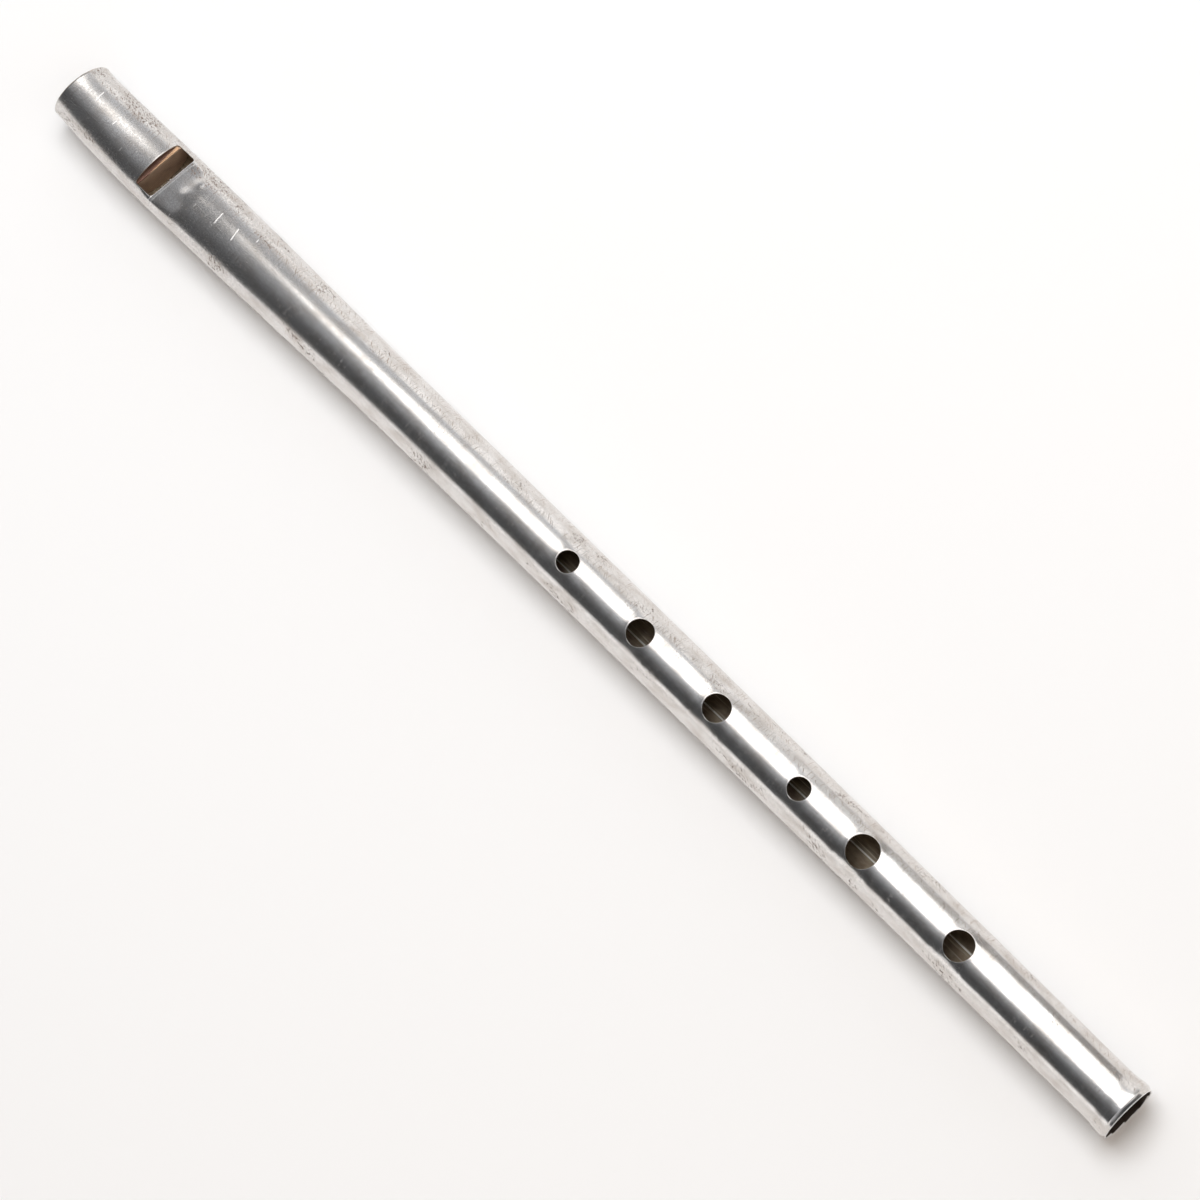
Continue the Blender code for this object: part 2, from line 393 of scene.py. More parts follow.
def openings(places, angles):
    """The window and the six finger holes."""
    found = []
    middle = (WINDOW_X + WINDOW_LENGTH / 2, WINDOW_SET)
    rings = (nearest(places, WINDOW_X - WINDOW_MARGIN), nearest(places, LIP_X + 1.1 * LIP_FILED))
    columns = tuple(nearest(angles, angle) for angle in WINDOW_COLUMNS)
    half_size = (WINDOW_LENGTH / 2, WINDOW_WIDTH / 2)
    found.append(Opening(middle, half_size, WINDOW_CORNER, WINDOW_EDGE, rings, columns))
    for x, diameter in zip(HOLE_X, HOLE_DIAMETER):
        half_width, _, offset = section(x)
        reach = diameter / 2 + HOLE_MARGIN
        rings = (nearest(places, x - reach), nearest(places, x + reach))
        turn = math.asin(reach / half_width)
        columns = (nearest(angles, math.pi - turn), nearest(angles, math.pi + turn))
        radius = diameter / 2
        found.append(Opening((x, -offset), (radius, radius), radius, HOLE_EDGE, rings, columns))
    return found


def add_ring(verts, points):
    first = len(verts)
    verts.extend(points)
    return list(range(first, len(verts)))


def bridge(faces, first, second):
    """Quads between two closed loops of the same length."""
    count = len(first)
    for i in range(count):
        j = (i + 1) % count
        faces.append((first[i], first[j], second[j], second[i]))


def line_opening(verts, faces, opening, places, angles, outer, inner):
    """Joins both faces of the sheet to a hole's rounded edge. Returns the faces of the bore."""
    border = opening.border()

    def loop(share, inset, grow, outside):
        points = []
        for i, j in border:
            x, angle = places[i], angles[j]
            edge_x, edge_angle = opening.edge(x, angle, inset, grow)
            x += (edge_x - x) * share
            angle += (edge_angle - angle) * share
            points.append(wall_point(x, angle, inset, outside))
        return add_ring(verts, points)

    loops = [[outer[i][j] for i, j in border]]
    rounding = opening.rounding
    loops += [loop(share, 0.0, rounding, True) for share in (0.3, 0.6, 0.85, 1.0)]
    for turn in [math.pi / 2 * i / 4 for i in range(1, 5)]:
        grow = rounding * (1 - math.sin(turn))
        loops.append(loop(1.0, rounding * (1 - math.cos(turn)), grow, True))
    loops.append(loop(1.0, SHEET, 0.0, False))
    edge_start = CUT_EDGE_FROM if opening.dark_edge else len(loops)
    inner_faces = []
    for place, (first, second) in enumerate(zip(loops, loops[1:])):
        bridge(inner_faces if place >= edge_start else faces, first, second)
    inside = [loops[-1]]
    inside += [loop(share, SHEET, 0.0, False) for share in (0.7, 0.35)]
    inside.append([inner[i][j] for i, j in border])
    for first, second in zip(inside, inside[1:]):
        bridge(inner_faces, first, second)
    return inner_faces


def make_tube(tin, bore):
    """Outside, bead, bore and mouth edge as one closed skin, with every opening lined."""
    places, angles = ring_places(), column_angles()
    holes = openings(places, angles)
    verts, tin_faces, bore_faces = [], [], []
    outer = [add_ring(verts, [wall_point(x, a, 0.0, True) for a in angles]) for x in places]
    inner = [add_ring(verts, [wall_point(x, a, SHEET, False) for a in angles]) for x in places]
    bore_end = nearest(places, LENGTH - HEM_DEPTH - 0.3 * MM)
    bead, fold = [[add_ring(verts, ring) for ring in part] for part in hem_rings(angles)]
    mouth = [add_ring(verts, ring) for ring in mouth_rings(angles)]
    count = len(angles)
    for skin, rings, last in ((tin_faces, outer, len(places) - 1), (bore_faces, inner, bore_end)):
        for i in range(last):
            for j in range(count):
                if any(hole.holds(i, j) for hole in holes):
                    continue
                k = (j + 1) % count
                skin.append((rings[i][j], rings[i][k], rings[i + 1][k], rings[i + 1][j]))
    for first, second in zip([outer[-1]] + bead, bead + [fold[0]]):
        bridge(tin_faces, first, second)
    for first, second in zip(fold, fold[1:] + [inner[bore_end]]):
        bridge(bore_faces, first, second)
    chain = [inner[0]] + mouth + [outer[0]]
    for first, second in zip(chain, chain[1:]):
        bridge(bore_faces, first, second)
    for hole in holes:
        bore_faces += line_opening(verts, tin_faces, hole, places, angles, outer, inner)
    tube = mesh_piece("tube_skin", verts, tin_faces + bore_faces, [tin, bore])
    for face in tube.data.polygons[len(tin_faces):]:
        face.material_index = 1
    return tube


def mesh_piece(name, verts, faces, materials, sharp=38):
    """A named object from points and faces, with its normals facing out."""
    mesh = bpy.data.meshes.new(name)
    mesh.from_pydata([tuple(v) for v in verts], [], faces)
    bm = bmesh.new()
    bm.from_mesh(mesh)
    loose = [v for v in bm.verts if not v.link_faces]
    bmesh.ops.delete(bm, geom=loose, context="VERTS")
    bmesh.ops.recalc_face_normals(bm, faces=bm.faces)
    bm.to_mesh(mesh)
    bm.free()
    mesh.shade_smooth()
    mesh.set_sharp_from_angle(angle=math.radians(sharp))
    for material in materials:
        mesh.materials.append(material)
    obj = bpy.data.objects.new(name, mesh)
    bpy.context.scene.collection.objects.link(obj)
    return obj


# ---------------------------------------------------------------- the wooden block

BLOCK_GAP = 0.05 * MM
BLOCK_LENGTH = WINDOW_X + 0.2 * MM
BLOCK_TOP_AT_MOUTH = 2.9 * MM
BLOCK_TOP_AT_WINDOW = 3.3 * MM
BLOCK_CHAMFER = 0.14 * MM
BLOCK_EDGE = 0.10 * MM
BLOCK_SEGMENTS = 72
BLOCK_TOP_SEGMENTS = 16
BLOCK_RINGS = 24
BLOCK_BACK = 0.15 * MM


def block_ring(x, top, inset):
    """The bore's shape at x, up to a flat top."""
    half_width, half_height, offset = section(x)
    half_width -= SHEET + BLOCK_GAP + inset
    half_height -= SHEET + BLOCK_GAP + inset
    edge = math.acos(-top / half_height)
    arc = [edge * (2 * i / BLOCK_SEGMENTS - 1) for i in range(BLOCK_SEGMENTS + 1)]
    points = []
    for angle in arc:
        aside = half_width * math.sin(angle)
        points.append(Vector((skewed(x, aside), offset + aside, -half_height * math.cos(angle))))
    first, last = points[-1], points[0]
    points += [first.lerp(last, i / BLOCK_TOP_SEGMENTS) for i in range(1, BLOCK_TOP_SEGMENTS)]
    return points


def make_block(wood):
    """The plug, with worn edges and a chamfer where its top meets the window."""
    chamfer_x = BLOCK_LENGTH - BLOCK_CHAMFER
    top_x = BLOCK_BACK + BLOCK_EDGE
    profile = [(BLOCK_BACK, BLOCK_TOP_AT_MOUTH - BLOCK_EDGE, BLOCK_EDGE)]
    profile.append((top_x, BLOCK_TOP_AT_MOUTH, 0.0))
    for i in range(1, BLOCK_RINGS + 1):
        share = i / BLOCK_RINGS
        top = BLOCK_TOP_AT_MOUTH + (BLOCK_TOP_AT_WINDOW - BLOCK_TOP_AT_MOUTH) * share
        profile.append((top_x + (chamfer_x - top_x) * share, top, 0.0))
    profile.append((BLOCK_LENGTH, BLOCK_TOP_AT_WINDOW - BLOCK_CHAMFER, 0.0))
    verts, faces = [], []
    rings = [add_ring(verts, block_ring(*row)) for row in profile]
    for first, second in zip(rings, rings[1:]):
        bridge(faces, first, second)
    faces.append(tuple(rings[0]))
    faces.append(tuple(rings[-1]))
    return mesh_piece("block", verts, faces, [wood], sharp=25)


# ---------------------------------------------------------------- the solder

SOLDER_WIDTH = 0.75 * MM
SOLDER_ENDS = 2.2 * MM
SOLDER_STEP = 0.8 * MM
SOLDER_SUNK = 0.05 * MM


def make_solder(metal):
    """A lumpy fillet in the step along the lap's outer edge."""
    steps = round((LENGTH - 2 * SOLDER_ENDS) / SOLDER_STEP)
    step_angle = -half_lap() - STEP_RUN / 2
    verts, faces, rings = [], [], []
    for i in range(steps + 1):
        x = SOLDER_ENDS + (LENGTH - 2 * SOLDER_ENDS) * i / steps
        lump = 1 + 0.45 * noise.noise(Vector((x / (2.2 * MM), 0.3, 5.1)))
        lump *= min(1.0, 0.3 + 0.7 * min(i, steps - i) / 4)
        width = SOLDER_WIDTH * lump / RADIUS_AT_FOOT
        ring = []
        for k in range(7):
            share = k / 6
            angle = step_angle - width * share
            height = SHEET * 1.04 * lump * (1 - share) ** 1.6
            ring.append(wall_point(x, angle, -height, True))
        ring.append(wall_point(x, step_angle - width, SOLDER_SUNK, True))
        ring.append(wall_point(x, step_angle, SOLDER_SUNK, True))
        rings.append(add_ring(verts, ring))
    for first, second in zip(rings, rings[1:]):
        bridge(faces, first, second)
    faces.append(tuple(rings[0]))
    faces.append(tuple(rings[-1]))
    return mesh_piece("solder_bead", verts, faces, [metal])


# ---------------------------------------------------------------- materials


class Graph:
    """Adds nodes to one node tree. Each method returns an output socket."""

    def __init__(self, tree):
        self.tree = tree

    def add(self, kind, inputs=None, **settings):
        node = self.tree.nodes.new(kind)
        for name, value in settings.items():
            setattr(node, name, value)
        for key, value in (inputs or {}).items():
            self.put(node.inputs[key], value)
        return node

    def put(self, socket, value):
        if isinstance(value, bpy.types.NodeSocket):
            self.tree.links.new(value, socket)
        else:
            socket.default_value = value

    def math(self, operation, a, b=0.0):
        node = self.add("ShaderNodeMath", {0: a, 1: b}, operation=operation)
        return node.outputs[0]

    def product(self, *values):
        total = values[0]
        for value in values[1:]:
            total = self.math("MULTIPLY", total, value)
        return total

    def largest(self, *values):
        total = values[0]
        for value in values[1:]:
            total = self.math("MAXIMUM", total, value)
        return total

    def ramp(self, value, start, end, low=0.0, high=1.0):
        """A smooth step from low at start to high at end."""
        inputs = {"Value": value, "From Min": start, "From Max": end, "To Min": low, "To Max": high}
        node = self.add("ShaderNodeMapRange", inputs, interpolation_type="SMOOTHSTEP")
        return node.outputs["Result"]

    def vector(self, x, y, z=0.0):
        return self.add("ShaderNodeCombineXYZ", {0: x, 1: y, 2: z}).outputs[0]

    def stretched(self, x, along, y, across, shift=0.0):
        """Coordinates for a pattern with this many features to the millimetre each way."""
        return self.vector(self.math("MULTIPLY", x, along), self.math("MULTIPLY", y, across), shift)

    def noise(self, vector, detail=2.0, rough=0.5):
        inputs = {"Vector": vector, "Scale": 1.0, "Detail": detail, "Roughness": rough}
        return self.add("ShaderNodeTexNoise", inputs).outputs["Fac"]

    def colour(self, share, first, second):
        node = self.add("ShaderNodeMix", data_type="RGBA")
        self.put(node.inputs[0], share)
        self.put(node.inputs[6], first)
        self.put(node.inputs[7], second)
        return node.outputs[2]

    def blend(self, share, first, second):
        node = self.add("ShaderNodeMix", {0: share, 2: first, 3: second}, data_type="FLOAT")
        return node.outputs[0]

    def bump(self, height, distance):
        """Bump of a height pattern whose full range stands for this distance."""
        inputs = {"Strength": 1.0, "Distance": distance, "Height": height}
        return self.add("ShaderNodeBump", inputs).outputs[0]


def new_material(name):
    """A material with an empty Principled shader, and its Graph."""
    material = bpy.data.materials.new(name)
    material.use_nodes = True
    return material, Graph(material.node_tree), material.node_tree.nodes["Principled BSDF"]


MEAN_RADIUS = 6.3


def millimetres(g):
    """The object's own x, y and z in millimetres."""
    place = g.add("ShaderNodeTexCoord").outputs["Object"]
    axes = g.add("ShaderNodeSeparateXYZ", {0: place})
    return [g.math("MULTIPLY", axis, 1000.0) for axis in axes.outputs]


def way_round(g, y, z):
    """Millimetres round the tube, from the top towards +Y."""
    return g.math("MULTIPLY", g.math("ARCTAN2", y, z), MEAN_RADIUS)


# Scratches that stand out, as (along, around, length, slant) in millimetres
SCRATCHES = (
    (6.1, 1.0, 2.8, -0.15),
    (12.3, -0.8, 1.4, 0.1),
    (42.0, 0.2, 3.2, -0.1),
    (46.9, 0.1, 3.2, -0.2),
    (51.0, 2.6, 1.2, -0.2),
)


def scratch_mask(g, along, around):
    """1 on the scratches that stand out, and 0 off them."""
    total = 0.0
    for at, turn, length, slant in SCRATCHES:
        across = g.math("SUBTRACT", around, turn)
        line = g.math("SUBTRACT", g.math("SUBTRACT", along, at), g.math("MULTIPLY", across, slant))
        thin = g.ramp(g.math("ABSOLUTE", line), 0.06, 0.16, 1.0, 0.0)
        short = g.ramp(g.math("ABSOLUTE", across), length / 2 - 0.3, length / 2, 1.0, 0.0)
        total = g.math("ADD", total, g.product(thin, short, 0.65))
    return total


TIN = (0.81, 0.785, 0.765, 1.0)
TARNISHED = (0.60, 0.555, 0.515, 1.0)
SPOTTED = (0.13, 0.08, 0.055, 1.0)
HAIRLINE = (0.36, 0.275, 0.22, 1.0)
DULL = (0.52, 0.50, 0.485, 1.0)
BARE_AND_HIGHLIGHT = (0.92, 0.91, 0.90, 1.0)
LIP_RUN_START = 0.09


def make_tin():
    """Tinplate: satin, mottled, finely scratched, and spotted where the tin has gone."""
    material, g, shader = new_material("tinplate")
    along, y, z = millimetres(g)
    around = way_round(g, y, z)
    head = g.ramp(along, 45.0, 75.0, 1.0, 0.0)
    far_side = g.ramp(around, 1.5, 4.5)
    near_side = g.ramp(around, -4.5, -7.0)

    # Marks all over: mottling, grain, and lines round, across and along the tube
    slanted = g.math("ADD", along, g.math("MULTIPLY", around, 0.7))
    mottle = g.noise(g.stretched(along, 0.16, around, 0.4), 4.0, 0.6)
    grain = g.noise(g.stretched(along, 1.5, around, 2.0), 3.0, 0.65)
    speckle = g.noise(g.stretched(along, 3.2, around, 3.8, 1.0), 2.0, 0.6)
    streaks = g.noise(g.stretched(along, 0.10, around, 3.2, 4.0), 3.0, 0.6)
    hoops = g.noise(g.stretched(along, 5.0, around, 0.20, 9.0), 2.0, 0.6)
    slants = g.noise(g.stretched(slanted, 3.8, around, 0.40, 2.0), 2.0, 0.6)
    hoop_lines = g.product(g.ramp(hoops, 0.60, 0.68), g.blend(far_side, 0.3, 1.0))
    slant_lines = g.product(g.ramp(slants, 0.62, 0.67), g.blend(far_side, 0.1, 1.0))
    long_lines = g.ramp(streaks, 0.60, 0.74)
    glints = g.product(g.ramp(hoops, 0.42, 0.34), g.ramp(grain, 0.48, 0.60))
    scratches = scratch_mask(g, along, around)

    # Where the tin has gone: in clusters, with cracks and most of the spots off the rubbed crown
    clusters = g.noise(g.stretched(along, 0.11, around, 0.22, 7.0), 3.0, 0.6)
    flecks = g.noise(g.stretched(slanted, 1.9, around, 1.5, 3.0), 3.0, 0.65)
    creep = g.noise(g.stretched(slanted, 0.45, around, 0.75, 6.0), 4.0, 0.75)
    sides = g.largest(far_side, near_side)
    reach = g.math("ADD", g.product(far_side, g.blend(head, 0.0, 0.12)), g.product(near_side, 0.03))
    worn = g.ramp(g.math("ADD", clusters, reach), 0.54, 0.66)
    cracks = g.ramp(g.math("ABSOLUTE", g.math("SUBTRACT", creep, 0.5)), 0.020, 0.050, 1.0, 0.0)
    cracks = g.product(cracks, g.ramp(worn, 0.5, 0.9), g.ramp(flecks, 0.49, 0.56), sides)
    spots = g.product(g.ramp(flecks, 0.60, 0.63), worn, g.blend(sides, 0.35, 1.0))
    spots = g.largest(spots, cracks)
    stain = g.product(worn, g.ramp(flecks, 0.40, 0.60), sides)

    # Painted highlights: two bright lines along the lip's filed edge and ridge, and a bright line round
    # the rim of the foot
    lip_run = g.math("SUBTRACT", along, LIP_X / MM)
    lip_run = g.math("SUBTRACT", lip_run, g.math("MULTIPLY", y, HEAD_SKEW))
    lip_run = g.math("SUBTRACT", lip_run, LIP_RUN_START)
    # Painted highlight: bright lines along the lip's filed edge and the ridge behind it
    lip_highlight_lines = g.largest(
        g.ramp(g.math("ABSOLUTE", g.math("SUBTRACT", lip_run, 0.06)), 0.05, 0.13, 1.0, 0.0),
        g.ramp(g.math("ABSOLUTE", g.math("SUBTRACT", lip_run, 0.72)), 0.05, 0.14, 0.7, 0.0),
    )
    lip_highlight_lines = g.product(lip_highlight_lines, g.ramp(z, 3.0, 3.3))
    # Painted highlight: a bright line round the rim of the foot's bead
    radius = g.math("SQRT", g.math("ADD", g.product(y, y), g.product(z, z)))
    rim_highlight = g.product(g.ramp(radius, 6.06, 6.02), g.ramp(along, 291.3, 291.4))
    rim_highlight = g.largest(rim_highlight, g.ramp(along, 291.82, 291.88))

    tone = g.colour(g.ramp(mottle, 0.35, 0.75), TIN, TARNISHED)
    tone = g.colour(g.product(g.ramp(speckle, 0.42, 0.62), g.blend(head, 0.3, 0.6)), tone, DULL)
    tone = g.colour(g.product(g.ramp(grain, 0.46, 0.62), g.blend(head, 0.1, 0.45)), tone, DULL)
    tone = g.colour(g.product(stain, 0.20), tone, TARNISHED)
    tone = g.colour(g.product(g.largest(hoop_lines, slant_lines), 0.75), tone, HAIRLINE)
    tone = g.colour(g.product(long_lines, near_side, 0.35), tone, HAIRLINE)
    tone = g.colour(g.product(spots, 0.9), tone, SPOTTED)
    # Bare metal in the scratches, together with the painted highlights along the lip and round the
    # foot's rim
    bare_and_highlight = g.largest(scratches, g.product(glints, 0.5), g.product(lip_highlight_lines, 0.8), g.product(rim_highlight, 0.7))
    tone = g.colour(bare_and_highlight, tone, BARE_AND_HIGHLIGHT)
    g.put(shader.inputs["Base Color"], tone)

    rough = g.blend(g.ramp(mottle, 0.3, 0.7), 0.16, 0.21)
    rough = g.math("ADD", rough, g.product(head, 0.03))
    rough = g.math("ADD", rough, g.product(g.math("SUBTRACT", grain, 0.5), g.blend(head, 0.10, 0.30)))
    rough = g.math("ADD", rough, g.product(long_lines, 0.06))
    rough = g.math("ADD", rough, g.product(stain, 0.04))
    rough = g.largest(rough, g.product(scratches, 0.50), g.product(spots, 0.60), g.product(rim_highlight, 0.5))
    g.put(shader.inputs["Roughness"], rough)
    metal = g.blend(spots, 1.0, 0.35)
    metal = g.blend(scratches, metal, 0.25)
    metal = g.blend(g.largest(rim_highlight, g.product(lip_highlight_lines, 0.6)), metal, 0.4)
    metal = g.blend(g.product(glints, 0.30), metal, 0.25)
    g.put(shader.inputs["Metallic"], metal)

    height = g.math("ADD", g.product(grain, g.blend(head, 0.12, 0.25)), g.product(streaks, 0.35))
    height = g.math("ADD", height, g.product(speckle, g.blend(head, 0.15, 0.34)))
    height = g.math("SUBTRACT", height, g.product(g.largest(hoop_lines, slant_lines), 0.4))
    height = g.math("SUBTRACT", height, g.product(scratches, 1.5))
    height = g.math("SUBTRACT", height, g.product(spots, 0.8))
    g.put(shader.inputs["Normal"], g.bump(height, 0.010 * MM))
    return material


BORE_DARK = (0.24, 0.18, 0.125, 1.0)
BORE_LIGHT = (0.44, 0.36, 0.26, 1.0)
BORE_STREAK = (0.74, 0.67, 0.56, 1.0)
BORE_SEAM = (0.95, 0.92, 0.86, 1.0)
BORE_SHADE_AT_FOOT = (0.05, 0.034, 0.025, 1.0)


def make_bore():
    """The inside of the tube: brown with age, with lighter streaks along it, and painted shade that
    turns it near-black inside the hem at the foot.
    """
    material, g, shader = new_material("tube_inside")
    along, y, z = millimetres(g)
    around = way_round(g, y, z)
    below = g.math("LESS_THAN", z, 0.0)
    blotch = g.noise(g.stretched(along, 0.25, around, 0.5), 4.0, 0.65)
    streaks = g.noise(g.stretched(along, 0.08, around, 2.4, 3.0), 3.0, 0.6)
    tone = g.colour(g.ramp(blotch, 0.3, 0.7), BORE_DARK, BORE_LIGHT)
    tone = g.colour(g.ramp(streaks, 0.55, 0.72), tone, BORE_STREAK)
    line = g.math("SUBTRACT", y, g.ramp(along, 150.0, 260.0, -0.6, 1.0))
    seam = g.product(g.ramp(g.math("ABSOLUTE", line), 0.10, 0.24, 1.0, 0.0), below)
    tone = g.colour(seam, tone, BORE_SEAM)
    # Painted shade: the bore turns near-black inside the hem at the foot
    tone = g.colour(g.ramp(along, 284.0, 289.5), tone, BORE_SHADE_AT_FOOT)
    g.put(shader.inputs["Base Color"], tone)
    g.put(shader.inputs["Roughness"], g.blend(streaks, 0.35, 0.6))
    g.put(shader.inputs["Metallic"], 0.55)
    g.put(shader.inputs["Normal"], g.bump(g.math("ADD", blotch, streaks), 0.02 * MM))
    return material


LIT_FACE_EARLY = (0.74, 0.54, 0.40, 1.0)
LIT_FACE_LATE = (0.62, 0.43, 0.31, 1.0)
DARK_EARLY = (0.40, 0.26, 0.17, 1.0)
DARK_LATE = (0.30, 0.185, 0.12, 1.0)
FIBRE = (0.36, 0.235, 0.16, 1.0)
WOOD_STAIN = (0.34, 0.21, 0.15, 1.0)
WORN_EDGE = (0.74, 0.47, 0.28, 1.0)
WINDWAY_SHADE = (0.20, 0.085, 0.065, 1.0)
HEART_BELOW = 14.0


def make_wood():
    """Close-grained softwood, darkened by age and paler where an edge is worn, with painted light on
    the face towards the window and painted shade on its top under the windway.
    """
    material, g, shader = new_material("block_wood")
    x, y, z = millimetres(g)
    wander = g.noise(g.vector(g.product(x, 0.04), g.product(y, 0.25), g.product(z, 0.25)), 3.0)
    above_heart = g.math("ADD", z, HEART_BELOW)
    from_heart = g.math("ADD", g.product(above_heart, above_heart), g.product(y, y))
    radius = g.math("ADD", g.math("SQRT", from_heart), g.product(wander, 1.6))
    rings = g.math("SINE", g.product(radius, 9.0))
    fibre = g.noise(g.vector(g.product(x, 0.35), g.product(y, 6.0), g.product(z, 6.0)), 3.0, 0.65)
    stain = g.noise(g.vector(g.product(x, 0.3), g.product(y, 0.4), g.product(z, 0.4)), 3.0)
    pale = g.colour(g.ramp(rings, -0.6, 0.9), LIT_FACE_EARLY, LIT_FACE_LATE)
    dark = g.colour(g.ramp(rings, -0.6, 0.9), DARK_EARLY, DARK_LATE)
    # Painted light: the face towards the window is paler than the rest of the block
    tone = g.colour(g.ramp(x, 22.0, 24.0), dark, pale)
    tone = g.colour(g.product(g.ramp(fibre, 0.4, 0.7), 0.4), tone, FIBRE)
    tone = g.colour(g.product(g.ramp(stain, 0.45, 0.7), 0.35), tone, WOOD_STAIN)
    edge = g.product(g.ramp(x, 23.96, 24.04), g.ramp(z, 3.10, 3.16))
    tone = g.colour(edge, tone, WORN_EDGE)
    # Painted shade: the top of the block under the windway is darkened
    floor = g.product(g.ramp(x, 24.04, 23.96), g.ramp(z, 2.7, 2.85))
    tone = g.colour(g.product(floor, 0.8), tone, WINDWAY_SHADE)
    g.put(shader.inputs["Base Color"], tone)
    g.put(shader.inputs["Roughness"], g.blend(fibre, 0.6, 0.85))
    g.put(shader.inputs["Normal"], g.bump(g.math("ADD", fibre, g.product(rings, 0.2)), 0.04 * MM))
    return material


SOLDER_CLEAN = (0.56, 0.55, 0.54, 1.0)
SOLDER_DULL = (0.34, 0.325, 0.305, 1.0)


def make_solder_metal():
    """Soft solder: duller and rougher than the tin, with small pits."""
    material, g, shader = new_material("solder")
    place = g.add("ShaderNodeTexCoord").outputs["Object"]
    scaled = g.add("ShaderNodeVectorMath", {0: place, 1: (1000.0,) * 3}, operation="MULTIPLY")
    lumps = g.noise(scaled.outputs[0], 4.0, 0.6)
    tone = g.colour(g.ramp(lumps, 0.35, 0.7), SOLDER_CLEAN, SOLDER_DULL)
    g.put(shader.inputs["Base Color"], tone)
    g.put(shader.inputs["Roughness"], g.ramp(lumps, 0.2, 0.8, 0.32, 0.58))
    g.put(shader.inputs["Metallic"], 1.0)
    g.put(shader.inputs["Normal"], g.bump(lumps, 0.05 * MM))
    return material


# ---------------------------------------------------------------- the studio

SOFTBOX_HEIGHT = 1.0
SOFTBOX_CORNERS = (
    (0.10, -0.12), (-0.16, -0.02), (-0.30, 0.16), (-0.38, 0.40),
    (-0.30, 0.68), (-0.15, 1.17), (0.02, 1.80), (0.42, 1.76), (0.42, 0.05),
)
SOFTBOX_SHINE = 2.1
CORE_CORNERS = ((-0.38, -0.12), (0.25, -0.12), (0.25, 0.58), (-0.38, 0.58))
CORE_GLOW = 6.3
FILL_HEIGHT = 1.2
FILL_CORNERS = ((-0.3, -1.1), (1.4, -1.1), (1.4, 1.0), (-0.3, 1.0))
FILL_GLOW = 0.79
FLOOR_HALF = 5.0
PALE = 0.93


def emission(name, colour, strength):
    material = bpy.data.materials.new(name)
    material.use_nodes = True
    tree = material.node_tree
    tree.nodes.remove(tree.nodes["Principled BSDF"])
    glow = tree.nodes.new("ShaderNodeEmission")
    glow.inputs["Color"].default_value = (*colour, 1.0)
    glow.inputs["Strength"].default_value = strength
    tree.links.new(glow.outputs[0], tree.nodes["Material Output"].inputs["Surface"])
    return material


def make_card(name, corners, height, colour, strength):
    """A glowing card that lights the scene but doesn't show to the camera."""
    mesh = bpy.data.meshes.new(name)
    points = [(x, y, height) for x, y in corners]
    mesh.from_pydata(points, [], [tuple(range(len(points)))])
    mesh.materials.append(emission(name, colour, strength))
    card = bpy.data.objects.new(name, mesh)
    bpy.context.scene.collection.objects.link(card)
    card.visible_camera = False
    card.visible_shadow = False
    card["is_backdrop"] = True
    return card


def make_lights():
    """A softbox, as one card for its reflection and one for its light, and a warm fill card."""
    white, cool, warm = (1.0, 0.99, 0.975), (0.97, 1.0, 1.03), (1.0, 0.84, 0.70)
    shine = make_card("softbox_shine", SOFTBOX_CORNERS, SOFTBOX_HEIGHT, white, SOFTBOX_SHINE)
    shine.visible_diffuse = False
    core = make_card("softbox_core", CORE_CORNERS, SOFTBOX_HEIGHT, cool, CORE_GLOW)
    core.visible_glossy = False
    fill = make_card("fill", FILL_CORNERS, FILL_HEIGHT, warm, FILL_GLOW)
    fill.visible_glossy = False


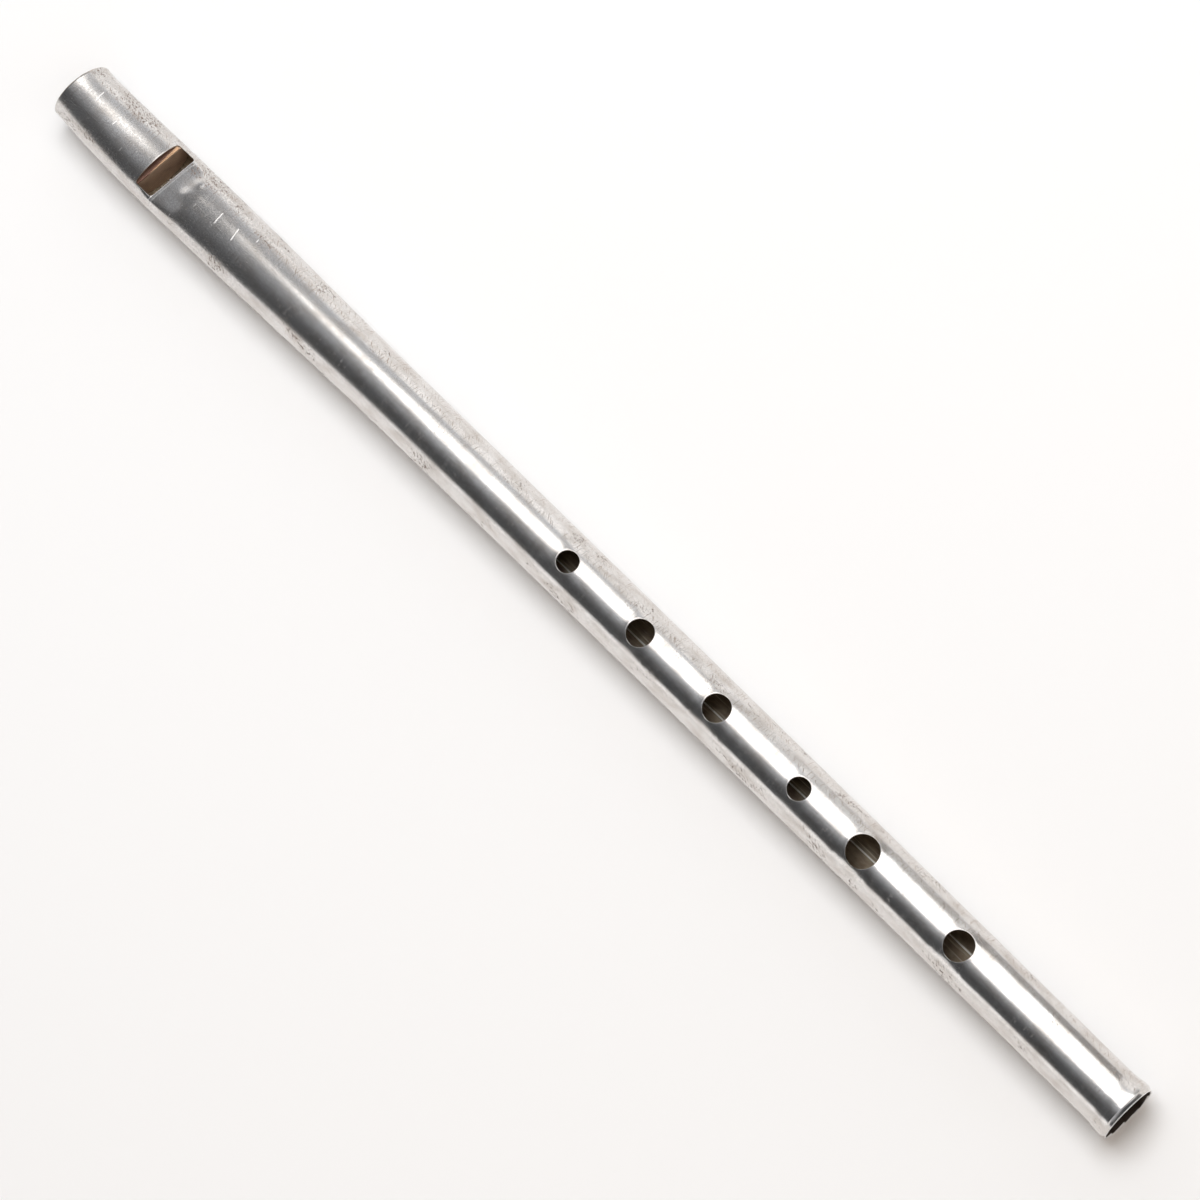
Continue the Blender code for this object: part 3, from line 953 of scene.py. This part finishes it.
def make_floor():
    """A plain pale floor that turns into an even white far from the object."""
    low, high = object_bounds()
    middle = (low + high) / 2
    corners = ((-1, -1), (1, -1), (1, 1), (-1, 1))
    points = [(middle.x + x * FLOOR_HALF, y * FLOOR_HALF, low.z) for x, y in corners]
    mesh = bpy.data.meshes.new("floor")
    mesh.from_pydata(points, [], [(0, 1, 2, 3)])
    material, g, shader = new_material("floor")
    place = g.add("ShaderNodeTexCoord").outputs["Object"]
    away = g.add("ShaderNodeVectorMath", {0: place, 1: middle}, operation="DISTANCE").outputs["Value"]
    far = g.ramp(away, 0.7, 1.8)
    g.put(shader.inputs["Base Color"], (0.90, 0.895, 0.89, 1.0))
    g.put(shader.inputs["Roughness"], 0.9)
    glow = g.add("ShaderNodeEmission", {"Color": (PALE, PALE, PALE, 1.0)})
    mixed = g.add("ShaderNodeMixShader", {0: far, 1: shader.outputs[0], 2: glow.outputs[0]})
    output = material.node_tree.nodes["Material Output"]
    g.put(output.inputs["Surface"], mixed.outputs[0])
    mesh.materials.append(material)
    floor = bpy.data.objects.new("floor", mesh)
    bpy.context.scene.collection.objects.link(floor)
    floor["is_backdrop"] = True


def make_world():
    """The room: bright near the horizon, dim above it, and plain pale to the camera."""
    world = bpy.data.worlds.new("studio")
    bpy.context.scene.world = world
    world.use_nodes = True
    g = Graph(world.node_tree)
    for node in list(world.node_tree.nodes):
        world.node_tree.nodes.remove(node)
    way = g.add("ShaderNodeTexCoord").outputs["Generated"]
    axes = g.add("ShaderNodeSeparateXYZ", {0: way})
    x, y, z = axes.outputs
    # From the camera the head mirrors what is below body's ramp, and the body what is above it
    body = g.ramp(x, -0.39, -0.31)
    far_side = g.ramp(y, -0.1, 0.2)
    far_glow = g.largest(g.ramp(x, -0.09, -0.27, 0.14, 1.16), g.ramp(x, 0.58, 0.67, 0.0, 0.8))
    band_glow = g.blend(far_side, 1.16, far_glow)
    over_mouth = g.ramp(x, -0.25, -0.35, 0.29, 0.06)
    over_foot = g.ramp(x, -0.08, 0.15, 0.29, 0.08)
    near_top = g.math("MINIMUM", over_mouth, over_foot)
    # The bright band near the horizon ends between these two heights
    band_starts = g.blend(far_side, g.math("ADD", near_top, 0.03), g.blend(body, 0.85, 0.51))
    band_full = g.blend(far_side, g.math("SUBTRACT", near_top, 0.05), g.blend(body, 0.08, 0.43))
    band = g.ramp(z, band_starts, band_full)
    overhead = g.product(g.ramp(y, -0.9, 0.0), g.ramp(y, -0.9, 0.0), g.ramp(x, 0.3, 0.0))
    over_body = g.math("ADD", 0.075, g.product(overhead, 0.56))
    over_head = g.math("ADD", 0.175, g.math("MULTIPLY", y, 0.09))
    blowing_side = g.product(g.ramp(x, -0.47, -0.62), g.ramp(z, 0.88, 0.7))
    upper = g.blend(blowing_side, g.blend(body, over_head, over_body), 0.33)
    # Lights the crown as it is seen from behind
    upper = g.blend(g.product(g.ramp(x, 0.56, 0.67), g.ramp(z, 0.68, 0.54)), upper, 0.42)
    light = g.blend(band, upper, band_glow)
    cool = g.colour(band, (0.95, 0.98, 1.03, 1.0), (1.0, 0.99, 0.98, 1.0))
    room = g.add("ShaderNodeBackground", {"Color": cool, "Strength": light})
    plain = g.add("ShaderNodeBackground", {"Color": (PALE, PALE, PALE, 1.0), "Strength": 1.0})
    seen = g.add("ShaderNodeLightPath").outputs["Is Camera Ray"]
    mixed = g.add("ShaderNodeMixShader", {0: seen, 1: room.outputs[0], 2: plain.outputs[0]})
    output = g.add("ShaderNodeOutputWorld")
    g.put(output.inputs["Surface"], mixed.outputs[0])


# ---------------------------------------------------------------- the camera

CAMERA_OVER_X = 0.40034
CAMERA_AWAY = 0.92958
CAMERA_ROLL = math.radians(2.5)
CAMERA_AIM = math.radians(14.974)
WHISTLE_IN_PICTURE = math.atan2(-0.70059, 0.71356)
CAMERA_LENS = 150.0
CAMERA_SHIFT = (-0.00536, 0.00158)


def make_camera():
    """Looks down at the whistle from beyond its foot, with the whistle across the picture."""
    up_axis = Vector((0, -math.sin(CAMERA_ROLL), math.cos(CAMERA_ROLL)))
    eye = Vector((CAMERA_OVER_X, 0, 0)) + up_axis * CAMERA_AWAY
    aim = Vector((CAMERA_OVER_X - CAMERA_AWAY * math.tan(CAMERA_AIM), 0, 0))
    back = (eye - aim).normalized()
    along = (Vector((1, 0, 0)) - back * back.x).normalized()
    across = back.cross(along)
    turn = WHISTLE_IN_PICTURE
    right = along * math.cos(turn) - across * math.sin(turn)
    up = along * math.sin(turn) + across * math.cos(turn)
    data = bpy.data.cameras.new("camera")
    camera = bpy.data.objects.new("camera", data)
    bpy.context.scene.collection.objects.link(camera)
    pose = Matrix((right, up, back)).transposed().to_4x4()
    pose.translation = eye
    camera.matrix_world = pose
    data.sensor_width = 36.0
    data.lens = CAMERA_LENS
    data.shift_x, data.shift_y = CAMERA_SHIFT
    data.clip_start = 0.01
    bpy.context.scene.camera = camera


# ---------------------------------------------------------------- putting it together

tube = make_tube(make_tin(), make_bore())
block = make_block(make_wood())
solder = make_solder(make_solder_metal())
for piece, node, slot in (
    (tube, "body_tube", "tinplate"),
    (block, "fipple_block", "block_wood"),
    (solder, "seam_solder", "solder"),
):
    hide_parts(node)
    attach(piece, "root")

make_lights()
make_world()
make_floor()
make_camera()
bpy.context.scene.view_settings.view_transform = "Standard"
